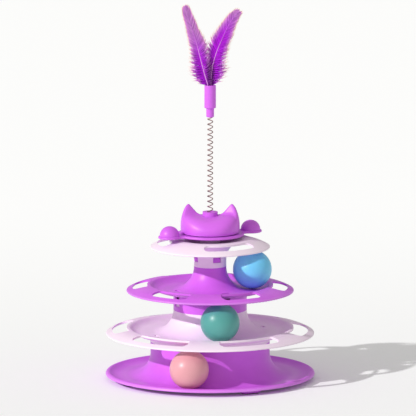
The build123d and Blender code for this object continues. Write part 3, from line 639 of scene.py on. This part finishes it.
def feather_tree():
    """A feather on the XZ plane: a tapered shaft with layers of barbs that fray towards the foot."""
    tree, given, made = new_tree("dyed_feather", "GeometryNodeTree", {
        "Geometry": ("Geometry", None), "Barbs": ("Int", BARB_COUNT), "Barb Width": ("Float", BARB_WIDTH),
        "Foot Angle": ("Float", math.radians(82)), "Tip Angle": ("Float", math.radians(32)),
        "Down Share": ("Float", 0.62), "Bare Quill": ("Float", BARE_QUILL), "Cup": ("Float", 0.05),
        "Tufts": ("Float", 24.0), "Tuft Pull": ("Float", 0.33),
        "Fray": ("Float", 3.0 * MM), "Shaft Radius": ("Float", QUILL_R),
        "Barb Material": ("Material", None), "Shaft Material": ("Material", None)}, {"Geometry": "Geometry"})
    line = add(tree, "GeometryNodeMeshToCurve", {"Mesh": given["Geometry"]})
    line = add(tree, "GeometryNodeCurveSplineType", {"Curve": out(line)}, spline_type="CATMULL_ROM")
    line = add(tree, "GeometryNodeResampleCurve", {"Curve": out(line), "Count": given["Barbs"]})
    along = out(add(tree, "GeometryNodeSplineParameter"), "Factor")
    shaft = out(add(tree, "GeometryNodeStoreNamedAttribute", {
        "Geometry": out(line), "Name": "along_shaft", "Value": along}, data_type="FLOAT", domain="POINT"))
    rows = [barb_row(tree, given, shaft, side, label, seed + number, *layer)
            for side, label, seed in BARB_SIDES
            for number, layer in enumerate(BARB_LAYERS)]
    barbs = add(tree, "GeometryNodeJoinGeometry")
    for row in rows:
        tree.links.new(row, barbs.inputs[0])

    def carried(label):
        return out(add(tree, "GeometryNodeInputNamedAttribute", {"Name": label}, data_type="FLOAT"))

    loose = spread(tree, carried("along_shaft"), 0.3, given["Down Share"], 1.0, 0.12)
    reach = maths(tree, "POWER", carried("along_barb"), 1.5)
    place = out(add(tree, "GeometryNodeInputPosition"))
    wisp = add(tree, "ShaderNodeTexNoise", {"Vector": place, "Scale": WISP_SCALE, "Detail": 2.0})
    sway = vectors(tree, "SUBTRACT", out(wisp, "Color"), (0.5, 0.5, 0.5))
    strength = maths(tree, "MULTIPLY", maths(tree, "MULTIPLY", loose, reach), given["Fray"])
    frayed = add(tree, "GeometryNodeSetPosition", {
        "Geometry": out(barbs), "Offset": vectors(tree, "SCALE", sway, scale=strength)})
    flat = add(tree, "GeometryNodeSetCurveNormal", {"Curve": out(frayed), "Normal": (0, 1, 0)}, mode="FREE")
    strip = add(tree, "GeometryNodeCurvePrimitiveQuadrilateral", {
        "Width": BARB_THICKNESS, "Height": 1.0}, mode="RECTANGLE")
    thin = spread(tree, carried("along_shaft"), 0.1, given["Down Share"], 0.95, 1.0)
    taper = spread(tree, carried("along_barb"), 0.4, 1.0, 1.0, 0.3)
    size = maths(tree, "MULTIPLY", maths(tree, "MULTIPLY", thin, taper), given["Barb Width"])
    blades = add(tree, "GeometryNodeCurveToMesh", {
        "Curve": out(flat), "Profile Curve": out(strip), "Scale": size})
    blades = add(tree, "GeometryNodeSetMaterial", {
        "Geometry": out(blades), "Material": given["Barb Material"]})
    circle = add(tree, "GeometryNodeCurvePrimitiveCircle", {
        "Resolution": SHAFT_SIDES, "Radius": given["Shaft Radius"]})
    stem = add(tree, "GeometryNodeCurveToMesh", {
        "Curve": shaft, "Profile Curve": out(circle), "Fill Caps": True,
        "Scale": spread(tree, along, 0.0, 1.0, 1.0, SHAFT_TIP_R / QUILL_R)})
    stem = add(tree, "GeometryNodeSetMaterial", {"Geometry": out(stem), "Material": given["Shaft Material"]})
    whole = add(tree, "GeometryNodeJoinGeometry")
    tree.links.new(out(stem), whole.inputs[0])
    tree.links.new(out(blades), whole.inputs[0])
    tree.links.new(out(add(tree, "GeometryNodeRealizeInstances", {"Geometry": out(whole)})), made["Geometry"])
    return tree


def make_feathers():
    """Two dyed feathers whose quills stand in the ferrule."""
    tree = feather_tree()
    shaft = dyed_shaft("dyed_shaft")
    for side, plume, depth in (("left", LEFT_PLUME, -FEATHER_DEPTH), ("right", RIGHT_PLUME, FEATHER_DEPTH)):
        barbs = dyed_barbs("dyed_barbs_" + side, DYE_END[side])
        x0, _, left0, right0 = plume[0]
        rows = [(x0, -QUILL_DEPTH / MM, left0, right0)] + plume
        points = [(x * MM, depth, FERRULE_TOP + z * MM) for x, z, _, _ in rows]
        edges = [(step, step + 1) for step in range(len(rows) - 1)]
        widths = {"left_width": [row[2] * MM for row in rows], "right_width": [row[3] * MM for row in rows]}
        finishes = {"Barb Material": barbs, "Shaft Material": shaft}
        piece = grown("plume_" + side, tree, finishes, points, edges, widths)
        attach(piece, "wand")
        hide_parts("feather_" + side)


# Head

def joined(first, second, reach):
    """Smooth union of two forms, each given as a distance that is below zero inside."""
    share = np.clip(0.5 + 0.5 * (second - first) / reach, 0.0, 1.0)
    return second + (first - second) * share - reach * share * (1.0 - share)


def shared(first, second, reach):
    """Smooth intersection of two forms."""
    return -joined(-first, -second, reach)


def head_distance(x, y, h):
    """Distance from the head's skin: a drum that runs up into the ears, under a saddle."""
    up = h - HEAD_BULGE_H
    draw = np.where(up < 0, FOOT_DRAW * up ** 2, SIDE_DRAW * up ** 2 + EAR_DRAW * up ** 4)
    drum = np.hypot(x, y) - (HEAD_R - draw)
    rise = h - SADDLE_H - x ** 2 / (2 * SADDLE_HOLLOW_R) + y ** 2 / (2 * SADDLE_ARCH_R)
    saddle = rise / np.sqrt(1 + (x / SADDLE_HOLLOW_R) ** 2 + (y / SADDLE_ARCH_R) ** 2)
    skin = shared(drum, saddle, SHOULDER_REACH)
    tip = Vector(EAR_TIP)
    for side in (1, -1):
        faces = []
        for way in (1, -1):
            ridge = Vector((EAR_RIDGE[0], way * EAR_RIDGE[1], EAR_RIDGE[2]))
            out_of = (ridge - tip).cross(Vector(EAR_ROOT) - tip).normalized() * way
            faces.append(out_of.x * (side * x - tip.x) + out_of.y * y + out_of.z * (h - tip.z))
        ear = shared(shared(*faces, EAR_REACH), drum, EAR_REACH)
        skin = joined(skin, ear, EAR_FLARE)
    return shared(skin, drum, SIDE_REACH)


def skin_point(start, heading, least, most):
    """Where rays from a start leave the head, found by halving."""
    for _ in range(HALVINGS):
        middle = (least + most) / 2
        inside = head_distance(*(s + d * middle for s, d in zip(start, heading))) < 0
        least, most = np.where(inside, middle, least), np.where(inside, most, middle)
    return [s + d * least for s, d in zip(start, heading)]


def head_rows():
    """Rings of points over the head: seat of the socket, skin, cavity and stem."""
    angle = np.linspace(0, math.tau, HEAD_ROUND, endpoint=False)
    across, along = np.cos(angle), np.sin(angle)
    zero = np.zeros_like(angle)

    def ring(radius, height):
        return np.stack([across * radius, along * radius, zero + height], axis=1)

    rows = [ring(SPIGOT_R, SPIGOT_H), ring(SPIGOT_R, SOCKET_H), ring(SOCKET_R, SOCKET_H)]
    land = (across * SOCKET_R, along * SOCKET_R, zero)
    crown = skin_point(land, (zero, zero, zero + 1), zero, zero + CROWN_REACH)[2]
    first = np.arctan2(crown - HEAD_EYE_H, SOCKET_R)
    foot_r = HEAD_R - FOOT_DRAW * (HEAD_BULGE_H - FOOT_ROUND_H) ** 2
    last = math.atan2(FOOT_ROUND_H - HEAD_EYE_H, foot_r)
    for row in range(HEAD_ROWS + 1):
        rise = first + (last - first) * row / HEAD_ROWS
        heading = (across * np.cos(rise), along * np.cos(rise), np.sin(rise))
        rows.append(np.stack(skin_point((0, 0, HEAD_EYE_H), heading, zero, zero + SKIN_REACH), axis=1))
    rows += [ring(foot_r - inwards, height) for inwards, height in FOOT_ROUND]
    rows += [ring(*place) for place in CAVITY]
    lip = STEM_FOOT_H + STEM_LIP_H
    boss = SPIGOT_H - SEAT_FLOOR
    rows += [ring(CAVITY[-1][0], boss), ring(STEM_R, boss), ring(STEM_R, lip), ring(STEM_LIP_R, lip),
             ring(STEM_LIP_R, STEM_FOOT_H)]
    return rows


def worked(name, form):
    """Object of a worked form, which is freed."""
    mesh = bpy.data.meshes.new(name)
    form.to_mesh(mesh)
    form.free()
    return placed(name, mesh)


def make_head():
    """Cat-head cap: a soft saddle between two ears, with its socket's seat, its cavity and its split stem."""
    form = bmesh.new()
    loops = [[form.verts.new((x * MM, y * MM, (h + HEAD_FOOT_Z) * MM)) for x, y, h in row]
             for row in head_rows()]
    for upper, lower in zip(loops, loops[1:]):
        for step in range(HEAD_ROUND):
            after = (step + 1) % HEAD_ROUND
            form.faces.new((upper[step], upper[after], lower[after], lower[step]))
    form.faces.new(loops[0])
    form.faces.new(loops[-1])
    bmesh.ops.recalc_face_normals(form, faces=form.faces)
    whole = worked("head_whole", form)
    form = bmesh.new()
    foot = Matrix.Translation((0, 0, (HEAD_FOOT_Z + STEM_FOOT_H) * MM))
    sides = Matrix.Diagonal((*(2 * half * MM for half in STEM_SPLIT), 1))
    bmesh.ops.create_cube(form, matrix=foot @ sides, size=1)
    slit = worked("stem_slit", form)
    cut = whole.modifiers.new("slit", "BOOLEAN")
    cut.object = slit
    cut.solver = "EXACT"
    mesh = applied(whole, "head_cap")
    discard(slit)
    mesh.materials.clear()
    mesh.materials.append(purple)
    mesh.shade_smooth()
    mesh.set_sharp_from_angle(angle=CREASE)
    piece = placed("head_cap", mesh)
    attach(piece, "head")
    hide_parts("cat_head")


make_head()
make_spring()
make_feathers()


# Floor, light and camera

def make_floor():
    """Pale floor that runs far past the view, with a painted glow that brightens it towards the back."""
    material, tree, shader = new_material("pale_floor", Roughness=0.9, Specular_IOR_Level=0.1)
    shader.inputs["Base Color"].default_value = FLOOR_WHITE
    shader.inputs["Emission Color"].default_value = (1, 1, 1, 1)
    place = add(tree, "ShaderNodeSeparateXYZ", {0: out(add(tree, "ShaderNodeTexCoord"), "Object")})
    path = add(tree, "ShaderNodeLightPath")
    seen = path.outputs["Is Camera Ray"]
    for ray in ("Is Glossy Ray", "Is Transmission Ray"):
        seen = maths(tree, "MAXIMUM", seen, path.outputs[ray])
    # painted brightening: the floor glows for camera, glossy and transmission rays, more far behind the toy
    glow = spread(tree, out(place, "Y"), *GLOW_SPAN, *FLOOR_GLOW)
    tree.links.new(maths(tree, "MULTIPLY", seen, glow), shader.inputs["Emission Strength"])
    mesh = bpy.data.meshes.new("floor")
    corners = [(x * FLOOR_REACH, y * FLOOR_REACH, 0) for x, y in ((-1, -1), (1, -1), (1, 1), (-1, 1))]
    mesh.from_pydata(corners, [], [(0, 1, 2, 3)])
    mesh.materials.append(material)
    floor = placed("floor", mesh)


def make_light():
    """Soft key lamp and an even pale sky."""
    key = bpy.data.lights.new("key", "SUN")
    key.energy = KEY_STRENGTH
    key.angle = KEY_SPREAD
    key.color = KEY_COLOUR
    lamp = placed("key", key)
    lamp.rotation_mode = "QUATERNION"
    lamp.rotation_quaternion = Vector(KEY_FROM).to_track_quat("Z", "Y")
    world = bpy.data.worlds.new("sky")
    bpy.context.scene.world = world
    world.use_nodes = True
    sky = world.node_tree.nodes["Background"]
    sky.inputs["Color"].default_value = SKY_COLOUR
    sky.inputs["Strength"].default_value = SKY_STRENGTH


def make_camera():
    """Long lens at the photograph's angle."""
    data = bpy.data.cameras.new("camera")
    data.sensor_width = SENSOR
    data.lens = SENSOR * VIEW_DISTANCE / VIEW_WIDTH
    data.clip_end = VIEW_END
    camera = placed("camera", data)
    back = Vector((0, -math.cos(VIEW_RISE), math.sin(VIEW_RISE)))
    camera.location = Vector(VIEW_MIDDLE) + back * VIEW_DISTANCE
    camera.rotation_mode = "QUATERNION"
    camera.rotation_quaternion = (-back).to_track_quat("-Z", "Y")
    bpy.context.scene.camera = camera


make_floor()
make_light()
make_camera()
bpy.context.scene.view_settings.view_transform = "Standard"
